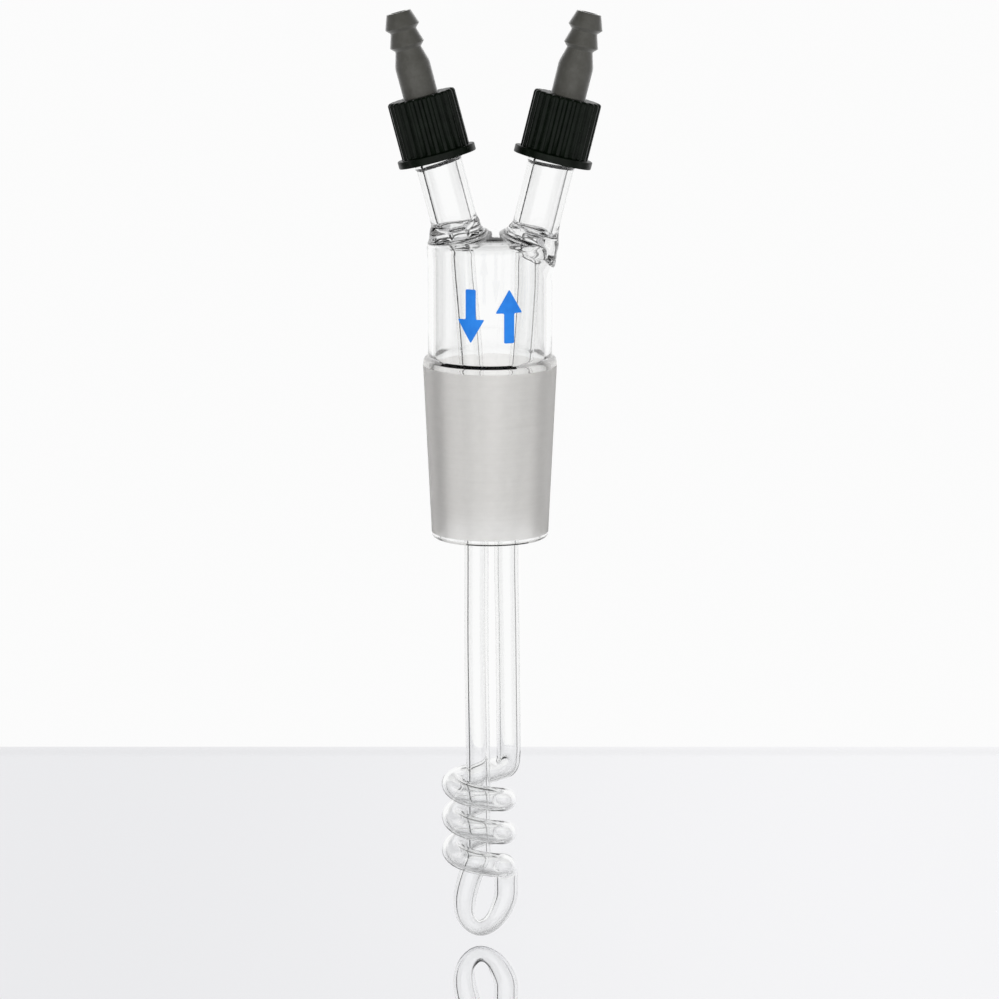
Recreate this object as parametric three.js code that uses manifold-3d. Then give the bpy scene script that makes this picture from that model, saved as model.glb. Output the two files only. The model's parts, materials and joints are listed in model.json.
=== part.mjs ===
// Coil condenser of the cold-finger kind, in millimetres, +Z up. A ground cone closes the flask, a small
// chamber sits on it, and one coolant tube runs from the left arm down through a three-turn coil, round
// a bottom loop and back up to the right arm. Each arm ends in a GL 14 thread with a ribbed screw cap
// that clamps a hose nozzle on a silicone ring. The origin is on the cone's axis, at the plane of its
// large end. The glass is one fused body: its workpieces are separate nodes with a hair gap at the joins.

import * as THREE from 'three';
import { mergeVertices } from 'three/addons/utils/BufferGeometryUtils.js';
import Module from 'manifold-3d';

const wasm = await Module();
wasm.setup();

// Shared
const GAP = 0.3; // between pieces that touch or are fused
const OVERSHOOT = 1; // how far a cutter reaches past what it cuts
const ROUND = 36; // sides of a large turned piece
const SMALL_ROUND = 20; // sides of a small turned piece
const UP = new THREE.Vector3(0, 0, 1);

// Ground cone of the 34/45 size, 1 in 10 on the diameter
const CONE_LARGE_RADIUS = 34.5 / 2;
const CONE_LENGTH = 44.6;
const CONE_TAPER = 0.1;
const CONE_WALL = 1.9;
const CONE_SMALL_RADIUS = CONE_LARGE_RADIUS - (CONE_LENGTH * CONE_TAPER) / 2;
const CONE_RIM_RADIUS = 1.1; // fire-polished lower edge
const CONE_BAND_TOP = 3; // clear band between the ground zone and the chamber

// Chamber
const CHAMBER_RADIUS = 16;
const CHAMBER_WALL = 1.7;
const CHAMBER_SHOULDER_Z = 29.5;
const CHAMBER_TOP_Z = 35.4;

// Coolant tube
const TUBE_RADIUS = 3.1;
const TUBE_BORE_RADIUS = 2.1;
const TUBE_SIDES = 10;
const LEAD = 1.2; // how far a tube runs straight on from what it meets

// Coil, wound left-handed round the left leg, from its top at the right
const COIL_CENTRE_X = -2.85;
const COIL_RADIUS = 6.65;
const COIL_PITCH = 8.78;
const COIL_TURNS = 3;
const COIL_TOP_Z = -105.85; // height that the helix would have at its right end
const COIL_POINTS_PER_TURN = 12;
const COIL_START_ANGLE = Math.PI; // where the elbow from the right leg has become the coil
const COIL_END_ANGLE = COIL_TURNS * 2 * Math.PI - THREE.MathUtils.degToRad(20); // where it turns down
const COIL_STEPS = 54;

// Legs and loop
const LEFT_LEG_X = -3.55; // under the cone
const LEFT_LEG_FOOT_X = -3.1; // inside the coil
const RIGHT_LEG_X = 4.3; // under the cone
const ELBOW_X = 4.8;
const ELBOW_Y = -0.8;
const LEG_STRAIGHT_Z = -44; // below this the legs run nearly straight
const LEG_STEPS = 24;
const ELBOW_TOP_Z = -98;
const LOOP_TOP_Z = -127.5;
const LOOP_STEPS = 24;

// Arms
const ARM_RADIUS = 6;
const ARM_BORE_RADIUS = 4.25;
const ARM_SEAL_THICKNESS = 5.2; // the ring seal that closes the arm onto the coolant tube
const ARM_LEAN = THREE.MathUtils.degToRad(4.5); // both arms lean back
const ARM_RIM_ABOVE_FLANGE = 10.6;
const SIDES = [
  { name: 'left', tilt: THREE.MathUtils.degToRad(-14.9), baseZ: 30.5, flangeX: -13.42, flangeZ: 53.6 },
  { name: 'right', tilt: THREE.MathUtils.degToRad(14), baseZ: 28, flangeX: 15.98, flangeZ: 53.3 },
];

// GL 14 thread
const THREAD_PITCH = 2.5;
const THREAD_STEPS_PER_TURN = 14;
const THREAD_SIDES = 6;
const ARM_RIDGE_RADIUS = 0.9;
const ARM_RIDGE_CENTRE = 6.1; // crest on a diameter of 14
const ARM_RIDGE_TURNS = 3.9;
const ARM_RIDGE_START = -Math.PI; // its lower end shows below the cap
const THREAD_BOTTOM = 0.3; // the arm ridge's height above the flange's lower face at angle 0
const CAP_RIDGE_RADIUS = 0.55;
const CAP_RIDGE_CENTRE = 7.35;
const CAP_RIDGE_TURNS = 2.5;

// Screw cap
const CAP_HEIGHT = 17;
const CAP_RADIUS = 8.9;
const CAP_EDGE_ROUND = 0.9;
const CAP_FLANGE_RADIUS = 10.2;
const CAP_FLANGE_THICKNESS = 2;
const CAP_BORE_RADIUS = 7.35;
const CAP_TOP_PLATE = 1.5;
const CAP_HOLE_RADIUS = 4.8;
const RIB_COUNT = 24;
const RIB_DEPTH = 0.4;
const RIB_SHARE = 0.5; // of one rib's spacing that its crest takes

// Hose nozzle, heights above the cap's top face
const NOZZLE_BORE_RADIUS = 2;
const NOZZLE_STEM_RADIUS = 4.5;
const NOZZLE_STEM_TOP = 8.3;
const NOZZLE_NECK_RADIUS = 3.3;
const NOZZLE_BARB_RADIUS = 4.45;
const NOZZLE_TIP_RADIUS = 3.1;
const NOZZLE_TIP = 22.2;
const NOZZLE_BARB_SPACING = 4.8; // from one barb's edge to the next
const NOZZLE_BARB_TIP = 3.85; // from the last barb's edge to the tip
const NOZZLE_BARB_BACK = 1.15; // the short slope behind a barb's edge
const NOZZLE_COLLAR_RADIUS = 6.45;
const NOZZLE_COLLAR_THICKNESS = 1.9;
const NOZZLE_SPIGOT_RADIUS = 3.5;
const NOZZLE_SPIGOT_LENGTH = 6;

// Silicone ring
const SEAL_RADIUS = 6.4;
const SEAL_HOLE_RADIUS = 3.8;

const at = (list) => list.map((p) => new THREE.Vector3(...p));

// Turns a closed three.js geometry into a solid
function solid(geometry) {
  const bare = geometry.clone();
  bare.deleteAttribute('normal');
  bare.deleteAttribute('uv');
  const merged = mergeVertices(bare, 1e-4);
  return new wasm.Manifold(new wasm.Mesh({
    numProp: 3,
    vertProperties: Float32Array.from(merged.attributes.position.array),
    triVerts: Uint32Array.from(merged.index.array),
  }));
}

// Turns a solid back into a three.js geometry
function geometryOf(manifold) {
  const mesh = manifold.getMesh();
  const geometry = new THREE.BufferGeometry();
  geometry.setAttribute('position', new THREE.BufferAttribute(mesh.vertProperties, 3));
  geometry.setIndex(new THREE.BufferAttribute(mesh.triVerts, 1));
  geometry.computeVertexNormals();
  return geometry;
}

// A profile of [radius, height] points turned about Z
function turned(points, sides) {
  const geometry = new THREE.LatheGeometry(points.map(([r, z]) => new THREE.Vector2(r, z)), sides);
  geometry.rotateX(Math.PI / 2); // the lathe turns about Y
  return geometry;
}

// A profile that closes on itself, for a piece with an open bore
function turnedRing(points, sides) {
  return turned([...points, points[0]], sides);
}

// Points of an arc in a profile, from one angle to another in radians
function profileArc(centreR, centreZ, radiusR, radiusZ, from, to, steps) {
  return Array.from({ length: steps + 1 }, (_, i) => {
    const angle = from + ((to - from) * i) / steps;
    return [centreR + radiusR * Math.cos(angle), centreZ + radiusZ * Math.sin(angle)];
  });
}

// A round section with an optional bore, run along a curve
function tube(curve, radius, boreRadius, sides, steps) {
  const section = new THREE.Shape();
  section.absarc(0, 0, radius, 0, 2 * Math.PI);
  if (boreRadius > 0) {
    const bore = new THREE.Path();
    bore.absarc(0, 0, boreRadius, 0, 2 * Math.PI, true);
    section.holes.push(bore);
  }
  const curveSegments = sides / 2; // a full circle gets two sides for each
  return new THREE.ExtrudeGeometry(section, { steps, extrudePath: curve, curveSegments });
}

// A helix about Z; pitch is the rise for one turn of growing angle
class Helix extends THREE.Curve {
  constructor(centreX, radius, pitch, startZ, fromAngle, toAngle) {
    super();
    Object.assign(this, { centreX, radius, pitch, startZ, fromAngle, toAngle });
  }

  getPoint(t, target = new THREE.Vector3()) {
    const angle = this.fromAngle + (this.toAngle - this.fromAngle) * t;
    return target.set(
      this.centreX + this.radius * Math.cos(angle),
      this.radius * Math.sin(angle),
      this.startZ + (this.pitch * angle) / (2 * Math.PI),
    );
  }
}

// A screw thread's ridge: a round bar on a helix, half sunk in the wall that carries it
function threadRidge(centreRadius, ridgeRadius, bottom, fromAngle, turns) {
  const toAngle = fromAngle + turns * 2 * Math.PI;
  const helix = new Helix(0, centreRadius, THREAD_PITCH, bottom, fromAngle, toAngle);
  const steps = Math.round(turns * THREAD_STEPS_PER_TURN);
  return solid(tube(helix, ridgeRadius, 0, THREAD_SIDES, steps));
}

// Materials
const glass = () => new THREE.MeshStandardMaterial({ color: 0xdfe8e6, roughness: 0.05, metalness: 0 });
const groundGlass = () => new THREE.MeshStandardMaterial({ color: 0xd0cfcb, roughness: 0.6, metalness: 0 });
const blackPlastic = () => new THREE.MeshStandardMaterial({ color: 0x10140f, roughness: 0.4, metalness: 0 });
const greyPlastic = () => new THREE.MeshStandardMaterial({ color: 0x56554f, roughness: 0.5, metalness: 0 });
const silicone = () => new THREE.MeshStandardMaterial({ color: 0xc9c4ba, roughness: 0.7, metalness: 0 });

function piece(name, geometry, material) {
  const mesh = new THREE.Mesh(geometry, material);
  mesh.name = name;
  return mesh;
}

// Ground cone with its clear band above and a rounded lower edge
function coneGeometry() {
  const innerSmall = CONE_SMALL_RADIUS - CONE_WALL;
  const innerLarge = CONE_LARGE_RADIUS - CONE_WALL - CHAMBER_WALL / 2;
  const rimCentre = CONE_SMALL_RADIUS - CONE_RIM_RADIUS;
  return turnedRing([
    [CHAMBER_RADIUS - CHAMBER_WALL, CONE_BAND_TOP],
    [innerLarge, 0],
    [innerSmall, -CONE_LENGTH + CONE_RIM_RADIUS],
    ...profileArc(rimCentre, -CONE_LENGTH + CONE_RIM_RADIUS, CONE_RIM_RADIUS, CONE_RIM_RADIUS,
      -Math.PI / 2, 0, 4),
    [CONE_LARGE_RADIUS, -GAP],
    [CONE_LARGE_RADIUS, GAP],
    [CHAMBER_RADIUS, CONE_BAND_TOP],
  ], ROUND);
}

// Where an arm stands: its base, its direction and how far its cap's flange is up it
function armPlacement(side) {
  const turn = new THREE.Euler(-ARM_LEAN, side.tilt, 0);
  const axis = UP.clone().applyEuler(turn);
  const flangeDistance = (side.flangeZ - side.baseZ) / axis.z;
  const base = new THREE.Vector3(side.flangeX - flangeDistance * axis.x, 0, side.baseZ);
  return { turn, axis, base, flangeDistance };
}

// Domed chamber, with a hole for each arm
function chamberGeometry(placements) {
  const innerRadius = CHAMBER_RADIUS - CHAMBER_WALL;
  const rise = CHAMBER_TOP_Z - CHAMBER_SHOULDER_Z;
  const foot = CONE_BAND_TOP + GAP;
  const shell = solid(turned([
    ...profileArc(0, CHAMBER_SHOULDER_Z, innerRadius, rise - CHAMBER_WALL, Math.PI / 2, 0, 6),
    [innerRadius, foot],
    [CHAMBER_RADIUS, foot],
    ...profileArc(0, CHAMBER_SHOULDER_Z, CHAMBER_RADIUS, rise, 0, Math.PI / 2, 7),
  ], ROUND));
  return geometryOf(placements.reduce((body, { turn, base, flangeDistance }) => {
    const cutter = new THREE.CylinderGeometry(ARM_RADIUS + GAP, ARM_RADIUS + GAP, flangeDistance, SMALL_ROUND);
    cutter.rotateX(Math.PI / 2);
    cutter.translate(0, 0, flangeDistance / 2 - GAP);
    cutter.applyMatrix4(new THREE.Matrix4().makeRotationFromEuler(turn).setPosition(base));
    return body.subtract(solid(cutter));
  }, shell));
}

// Arm: a tube with its ring seal at the foot and the thread below its rim
function armGeometry(flangeDistance) {
  const rim = flangeDistance + ARM_RIM_ABOVE_FLANGE;
  const wallMiddle = (ARM_RADIUS + ARM_BORE_RADIUS) / 2;
  const rimRound = (ARM_RADIUS - ARM_BORE_RADIUS) / 2;
  const body = solid(turnedRing([
    [TUBE_BORE_RADIUS, 0],
    [ARM_RADIUS - GAP, 0],
    [ARM_RADIUS, GAP],
    ...profileArc(wallMiddle, rim - rimRound, rimRound, rimRound, 0, Math.PI, 4),
    [ARM_BORE_RADIUS, ARM_SEAL_THICKNESS],
    [TUBE_BORE_RADIUS, ARM_SEAL_THICKNESS - OVERSHOOT],
  ], SMALL_ROUND));
  const ridge = threadRidge(ARM_RIDGE_CENTRE, ARM_RIDGE_RADIUS, flangeDistance + THREAD_BOTTOM,
    ARM_RIDGE_START, ARM_RIDGE_TURNS);
  return geometryOf(body.add(ridge));
}

// Cap: ribbed outside, flanged at the foot, threaded inside, with a hole for the nozzle in its top plate
function capGeometry() {
  const ribs = new THREE.Shape();
  for (let i = 0; i < RIB_COUNT; i += 1) {
    const start = (i * 2 * Math.PI) / RIB_COUNT;
    const crest = start + (RIB_SHARE * 2 * Math.PI) / RIB_COUNT;
    for (const [angle, radius] of [
      [start, CAP_RADIUS - RIB_DEPTH],
      [start + (crest - start) / 3, CAP_RADIUS],
      [crest, CAP_RADIUS],
      [crest + (crest - start) / 3, CAP_RADIUS - RIB_DEPTH],
    ]) {
      const point = [radius * Math.cos(angle), radius * Math.sin(angle)];
      if (i === 0 && angle === start) ribs.moveTo(...point);
      else ribs.lineTo(...point);
    }
  }
  const ribbed = solid(new THREE.ExtrudeGeometry(ribs, { depth: CAP_HEIGHT, bevelEnabled: false }));
  const envelope = solid(turned([
    [0, 0],
    [CAP_RADIUS + GAP, 0],
    ...profileArc(CAP_RADIUS - CAP_EDGE_ROUND, CAP_HEIGHT - CAP_EDGE_ROUND,
      CAP_EDGE_ROUND, CAP_EDGE_ROUND, 0, Math.PI / 2, 2),
    [0, CAP_HEIGHT],
  ], RIB_COUNT));
  const flange = solid(turned([
    [0, 0],
    [CAP_FLANGE_RADIUS, 0],
    [CAP_FLANGE_RADIUS, CAP_FLANGE_THICKNESS - GAP],
    [CAP_RADIUS, CAP_FLANGE_THICKNESS],
    [0, CAP_FLANGE_THICKNESS],
  ], ROUND));
  const bore = solid(turned([
    [0, -OVERSHOOT],
    [CAP_BORE_RADIUS, -OVERSHOOT],
    [CAP_BORE_RADIUS, CAP_HEIGHT - CAP_TOP_PLATE],
    [CAP_HOLE_RADIUS, CAP_HEIGHT - CAP_TOP_PLATE],
    [CAP_HOLE_RADIUS, CAP_HEIGHT + OVERSHOOT],
    [0, CAP_HEIGHT + OVERSHOOT],
  ], SMALL_ROUND));
  const ridgeBottom = THREAD_BOTTOM + THREAD_PITCH / 2;
  const ridge = threadRidge(CAP_RIDGE_CENTRE, CAP_RIDGE_RADIUS, ridgeBottom, 0, CAP_RIDGE_TURNS);
  return geometryOf(ribbed.intersect(envelope).add(flange).subtract(bore).add(ridge));
}

// Heights in the nozzle and its seal, above the cap's flange
const COLLAR_TOP = CAP_HEIGHT - CAP_TOP_PLATE - GAP;
const COLLAR_BOTTOM = COLLAR_TOP - NOZZLE_COLLAR_THICKNESS;
const SEAL_TOP = COLLAR_BOTTOM - GAP;
const SEAL_BOTTOM = ARM_RIM_ABOVE_FLANGE + GAP;

// Hose nozzle: spigot, collar, stem and three barbs on one bore
function nozzleGeometry() {
  const tip = CAP_HEIGHT + NOZZLE_TIP;
  const upperBarb = tip - NOZZLE_BARB_TIP;
  const lowerBarb = upperBarb - NOZZLE_BARB_SPACING;
  return turnedRing([
    [NOZZLE_BORE_RADIUS, COLLAR_BOTTOM - NOZZLE_SPIGOT_LENGTH],
    [NOZZLE_SPIGOT_RADIUS, COLLAR_BOTTOM - NOZZLE_SPIGOT_LENGTH],
    [NOZZLE_SPIGOT_RADIUS, COLLAR_BOTTOM],
    [NOZZLE_COLLAR_RADIUS, COLLAR_BOTTOM],
    [NOZZLE_COLLAR_RADIUS, COLLAR_TOP],
    [NOZZLE_STEM_RADIUS, COLLAR_TOP],
    [NOZZLE_STEM_RADIUS, CAP_HEIGHT + NOZZLE_STEM_TOP],
    [NOZZLE_NECK_RADIUS, lowerBarb - NOZZLE_BARB_BACK],
    [NOZZLE_BARB_RADIUS, lowerBarb],
    [NOZZLE_NECK_RADIUS, upperBarb - NOZZLE_BARB_BACK],
    [NOZZLE_BARB_RADIUS, upperBarb],
    [NOZZLE_TIP_RADIUS, tip],
    [NOZZLE_BORE_RADIUS, tip],
  ], SMALL_ROUND);
}

// Centre line through points chosen by hand
function route(points) {
  return new THREE.CatmullRomCurve3(points, false, 'centripetal');
}

const helix = (fromAngle, toAngle) => (
  new Helix(COIL_CENTRE_X, COIL_RADIUS, -COIL_PITCH, COIL_TOP_Z, fromAngle, toAngle));

// From the arm's ring seal, inwards to the leg's place in the cone's bore
function legTop({ base, axis }, bends) {
  return [...[GAP, LEAD].map((d) => base.clone().addScaledVector(axis, -d)), ...at(bends)];
}

function leftLegRoute(placement) {
  return route([
    ...legTop(placement, [[-6.8, 0, 25], [-5.7, 0, 12], [-4.8, 0, 0], [-3.9, 0, -20]]),
    ...at([[LEFT_LEG_X, 0, LEG_STRAIGHT_Z], [LEFT_LEG_X, 0, -75], [LEFT_LEG_FOOT_X, 0, -108]]),
    ...at([[LEFT_LEG_FOOT_X, 0, LOOP_TOP_Z + LEAD], [LEFT_LEG_FOOT_X, 0, LOOP_TOP_Z]]),
  ]);
}

function rightLegRoute(placement) {
  return route([
    ...legTop(placement, [[9.5, 0, 22], [8.9, 0, 12], [8, 0, 0], [6, 0, -22]]),
    ...at([[RIGHT_LEG_X, 0, LEG_STRAIGHT_Z], [RIGHT_LEG_X + 0.2, -0.3, -70]]),
    ...at([[ELBOW_X, ELBOW_Y, ELBOW_TOP_Z + LEAD], [ELBOW_X, ELBOW_Y, ELBOW_TOP_Z]]),
  ]);
}

const turns = helix(COIL_START_ANGLE, COIL_END_ANGLE);
const pastCoil = (distance) => turns.getPoint(1).addScaledVector(turns.getTangent(1), distance);

// Elbow under the right leg, then the turns
function coilRoute() {
  const turnsLeft = (COIL_END_ANGLE - COIL_START_ANGLE) / (2 * Math.PI);
  const count = Math.round(turnsLeft * COIL_POINTS_PER_TURN);
  return route([
    ...at([[ELBOW_X, ELBOW_Y, ELBOW_TOP_Z - GAP], [ELBOW_X, ELBOW_Y, ELBOW_TOP_Z - GAP - LEAD]]),
    ...at([[4.8, -0.6, -102.4], [4.3, 1.2, -105.6], [1.6, 4.9, -107.6], [-2.8, 6.6, -109.2], [-7.4, 4.7, -109.9]]),
    ...turns.getPoints(count),
    pastCoil(LEAD),
  ]);
}

// From the coil's lower end, down and round to the left leg's foot
function bottomLoopRoute() {
  return route([
    pastCoil(LEAD + GAP),
    pastCoil(2 * LEAD),
    ...at([[4.1, 1.4, -133.8], [4.1, 2.4, -137.2], [3.8, 2.4, -141.8], [0.7, 1.7, -146.6], [-2.8, 1, -148.1]]),
    ...at([[-5.7, 0.4, -145.6], [-6.5, 0, -141.4], [-5.4, 0, -135.8], [-3.6, 0, -131.2]]),
    ...at([[LEFT_LEG_FOOT_X, 0, LOOP_TOP_Z - GAP - LEAD], [LEFT_LEG_FOOT_X, 0, LOOP_TOP_Z - GAP]]),
  ]);
}

function sealGeometry() {
  return turnedRing([
    [SEAL_HOLE_RADIUS, SEAL_BOTTOM],
    [SEAL_RADIUS, SEAL_BOTTOM],
    [SEAL_RADIUS, SEAL_TOP],
    [SEAL_HOLE_RADIUS, SEAL_TOP],
  ], SMALL_ROUND);
}

const condenser = new THREE.Group();
const placements = SIDES.map(armPlacement);

condenser.add(piece('ground_cone', coneGeometry(), groundGlass()));
condenser.add(piece('upper_chamber', chamberGeometry(placements), glass()));

// Arms with what screws onto them
SIDES.forEach(({ name }, i) => {
  const { turn, base, flangeDistance } = placements[i];
  const arm = new THREE.Group();
  arm.position.copy(base);
  arm.rotation.copy(turn);
  arm.add(piece(`${name}_arm`, armGeometry(flangeDistance), glass()));
  const fitting = new THREE.Group();
  fitting.position.set(0, 0, flangeDistance);
  fitting.add(piece(`${name}_screw_cap`, capGeometry(), blackPlastic()));
  fitting.add(piece(`${name}_hose_nozzle`, nozzleGeometry(), greyPlastic()));
  fitting.add(piece(`${name}_seal_ring`, sealGeometry(), silicone()));
  arm.add(fitting);
  condenser.add(arm);
});

// Coolant tube: down the left leg, round the bottom loop, up the coil and its elbow, up the right leg
for (const [name, route, steps] of [
  ['left_leg', leftLegRoute(placements[0]), LEG_STEPS],
  ['bottom_loop', bottomLoopRoute(), LOOP_STEPS],
  ['cooling_coil', coilRoute(), COIL_STEPS],
  ['right_leg', rightLegRoute(placements[1]), LEG_STEPS],
]) {
  condenser.add(piece(name, tube(route, TUBE_RADIUS, TUBE_BORE_RADIUS, TUBE_SIDES, steps), glass()));
}

export default condenser;
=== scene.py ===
import json
import math

import bmesh
import bpy
import numpy as np
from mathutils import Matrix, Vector

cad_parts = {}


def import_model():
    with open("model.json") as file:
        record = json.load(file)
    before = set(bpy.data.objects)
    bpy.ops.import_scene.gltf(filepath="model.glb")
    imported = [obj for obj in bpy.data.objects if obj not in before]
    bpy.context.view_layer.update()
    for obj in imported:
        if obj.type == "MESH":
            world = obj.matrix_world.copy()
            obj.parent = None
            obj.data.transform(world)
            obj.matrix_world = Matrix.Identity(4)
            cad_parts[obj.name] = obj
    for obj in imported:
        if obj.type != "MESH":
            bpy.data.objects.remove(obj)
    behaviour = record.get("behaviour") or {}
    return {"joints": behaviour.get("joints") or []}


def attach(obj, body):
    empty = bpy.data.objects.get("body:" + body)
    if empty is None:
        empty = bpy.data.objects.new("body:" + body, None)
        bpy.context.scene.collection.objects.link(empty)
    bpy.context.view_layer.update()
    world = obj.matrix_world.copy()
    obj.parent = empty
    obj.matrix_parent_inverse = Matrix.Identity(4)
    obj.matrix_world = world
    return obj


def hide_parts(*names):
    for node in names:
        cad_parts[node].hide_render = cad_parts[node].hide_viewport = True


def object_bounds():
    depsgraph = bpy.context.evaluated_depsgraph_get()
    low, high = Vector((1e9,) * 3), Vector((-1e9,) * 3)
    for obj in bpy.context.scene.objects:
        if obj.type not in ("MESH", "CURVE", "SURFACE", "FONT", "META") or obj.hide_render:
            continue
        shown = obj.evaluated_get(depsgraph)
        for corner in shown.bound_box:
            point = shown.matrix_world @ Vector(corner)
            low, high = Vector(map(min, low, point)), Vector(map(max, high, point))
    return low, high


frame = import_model()
cad_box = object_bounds()

MM = 0.001
TAU = 2 * math.pi
GAP = 0.3  # between pieces that touch

# Ground cone and chamber
CONE_LARGE_RADIUS = 17.25
CONE_TAPER = 0.05
CONE_LENGTH = 44.6
CONE_WALL = 1.9
CONE_RIM = 0.75  # radius of the rim's rounding
GROUND_TOP = 0.6
GROUND_FOOT = -43.2
CHAMBER_RADIUS = 16.0
CHAMBER_WALL = 1.7
SHOULDER_Z = 31.0
DOME_RISE = 4.4
# The step from the chamber out to the cone, as (radius, height)
FLARE = ((16.0, 3.6), (16.02, 3.3), (16.1, 3.0), (16.32, 2.72), (16.62, 2.5), (16.88, 2.28), (17.06, 1.98),
         (17.18, 1.55), (17.25, 1.0), (17.27, 0.7))
LEDGE_TOP = 2.72  # on the front this step is a crisp ledge, which carries a painted shade line: near-black glass standing in for the dark edge that refraction draws there
LEDGE_FOOT = 1.98
LEDGE_AT = 258  # the middle of the crisp ledge and of its painted shade line, in degrees round the axis
LEDGE_HALF = 38.5
LEDGE_TAPER = 5  # degrees that the line's ends lean in
CRISP = (0.70, 0.78)  # cosine off the line's middle between which the ledge sets in
EASY_TOP = 4.2  # on the back the step is an easy slope from here down
EASY = (0.1, 0.5)  # sine round the axis between which the slope sets in
RIM_LINE_AT = 279  # a painted shade line like the ledge's, under the cone's rim
RIM_LINE_HALF = 34
RIM_LINE_ROWS = (3, 8)  # of the rim's profile
INNER_RIM = 0.9  # width of the rim's rounding inside
INNER_TOP = -2  # where the taper inside ends
INNER_STEP = 0.35  # how much wider it is there than the chamber
BAND_TOP = 3.0  # where the inside has come in to the chamber's width
HEAD_CUT_Z = 20.0  # below this the glass is turned and swept, above it is one blended form
SEAM = 0.6  # height of the strip that joins them
TURNED_SIDES = 120

# Arms
ARM_RADIUS = 6.0
ARM_BORE = 4.25
ARM_RIM = 10.6  # this and the heights below are above the cap's flange
ARM_FOOT = {"left": -23.98, "right": -26.16}
ARM_FLOOR = {"left": -18.6, "right": -20.1}  # of the bore, on the ring seal
ARM_SLANT = {"left": 0.0, "right": 0.16}  # of the ring seal, falling towards +X
BEAD = (6.3, 5.3, 1.0)  # of fused glass round the arm: height above the foot, its radius and half thickness
WELD = 1.0  # radius of the weld where the arm meets the chamber
WELD_LOSS = 0.85  # share of it that is gone between the arms
ARM_BLEND = 4.5
INNER_BLEND = 3.4  # between the arms
INNER = (-0.3, 0.6)  # cosine towards the other arm between which the inner values set in
ARM_EDGE = 0.8
PLUG_RISE = 1.0  # of the ring seal's underside above the foot
THREAD_PITCH = 2.5
THREAD_CENTRE = 6.1
THREAD_RADIUS = 0.8
THREAD_BOTTOM = 0.3  # at angle 0
THREAD_START = -0.5  # in turns
THREAD_TURNS = 3.4
THREAD_END = 0.35  # share of its radius that is left at its ends
THREAD_FADE = 0.12  # turns over which it thins
CELL = 0.45  # of the grid that the head's surface is found on
HEAD_LOW = (-27.0, -17.6, HEAD_CUT_Z - 1.5)  # the grid's corners
HEAD_HIGH = (27.5, 17.6, 66.0)

# Coolant tube
TUBE_RADIUS = 3.1
TUBE_BORE = 2.1
TUBE_SIDES = 32
BORE_SIDES = 28
COIL_CENTRE_X = -2.85
COIL_RADIUS = 6.65
COIL_PITCH = 8.78
COIL_TOP_Z = -105.85
COIL_FROM = math.pi
COIL_TO = 3 * TAU - math.radians(20)
COIL_POINTS_PER_TURN = 12
LOOP_CENTRE = (-1.2, 1.2, -139.0)
LOOP_FOOT = (-2.8, 1.0, -148.1)

# Cap, nozzle and seal ring, heights above the cap's flange
CAP_HEIGHT = 17.0
CAP_RADIUS = 8.9
CAP_EDGE = 0.9
CAP_FLANGE_RADIUS = 10.2
CAP_FLANGE = 2.0
CAP_BORE = 7.35
CAP_PLATE = 1.5
CAP_HOLE = 4.8
CAP_RIDGE = 0.55
CAP_TURNS = 2.5
RIB_COUNT = 24
RIB_DEPTH = 0.6
RIB_PHASE = 1 / 3  # of a rib
RIB_SIDE = (0.16, 0.36)  # from a rib's middle, in shares of their spacing, where its side slopes
NOZZLE_BORE = 2.0
STEM_RADIUS = 4.5
STEM_TOP = 8.3
NECK_RADIUS = 3.3
BARB_RADIUS = 4.45
TIP_RADIUS = 3.1
NOZZLE_TIP = 22.2
BARB_SPACING = 4.8
BARB_TIP = 3.85
BARB_BACK = 1.15
COLLAR_RADIUS = 6.45
COLLAR = 1.9
SPIGOT_RADIUS = 3.5
SPIGOT = 6.0
PARTING = 0.06  # height of the nozzle's parting line
PARTING_WIDTH = 0.12
SEAL_RADIUS = 6.4
SEAL_HOLE = 3.8
SEAL_EDGE = 0.35

# Flow arrows on the chamber's front
ARROW_HEIGHT = 7.0  # half of the arrow's
ARROW_NECK = 0.8
ARROW_SHAFT = 1.35
ARROW_HEAD = 3.6
ARROW_CORNER = 0.45
ARROW_STRIP = 0.3  # it is cut into strips to follow the curve
ARROW_FOOT = 0.02  # above the glass
ARROW_TOP = 0.11
ARROW_X = 5.0
ARROW_Z = 15.6

# Flattened foot of the bottom loop
PINCH_DEPTH = 0.36  # share of the tube's radius
PINCH_SPREAD = 0.12
PINCH_LENGTH = 5.5


def unit(v):
    return v / np.linalg.norm(v, axis=-1, keepdims=True)


def arms():
    """Each side's flange centre and its two cross axes and outward axis, from the caps' hinges."""
    found = {}
    for joint in frame["joints"]:
        if joint["name"].endswith("_cap_turn"):
            axis = unit(np.array(joint["axis"], float))
            back = unit(np.array((0, axis[2], -axis[1])))
            found[joint["name"].split("_")[0]] = (
                np.array(joint["pos_m"]) / MM,
                np.array((np.cross(back, axis), back, axis)),
            )
    return found


ARMS = arms()


def mesh_object(name, points, faces, material_of_face=None):
    """A smooth-shaded object from points in millimetres."""
    mesh = bpy.data.meshes.new(name)
    mesh.from_pydata([tuple(p) for p in np.asarray(points) * MM], [], [list(f) for f in faces])
    mesh.validate()
    mesh.shade_smooth()
    if material_of_face is not None:
        mesh.polygons.foreach_set("material_index", material_of_face)
    obj = bpy.data.objects.new(name, mesh)
    bpy.context.scene.collection.objects.link(obj)
    return obj


def smooth_step(low, high, x):
    t = np.clip((x - low) / (high - low), 0, 1)
    return t * t * (3 - 2 * t)


# ---------------------------------------------------------------- coolant tube


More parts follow.
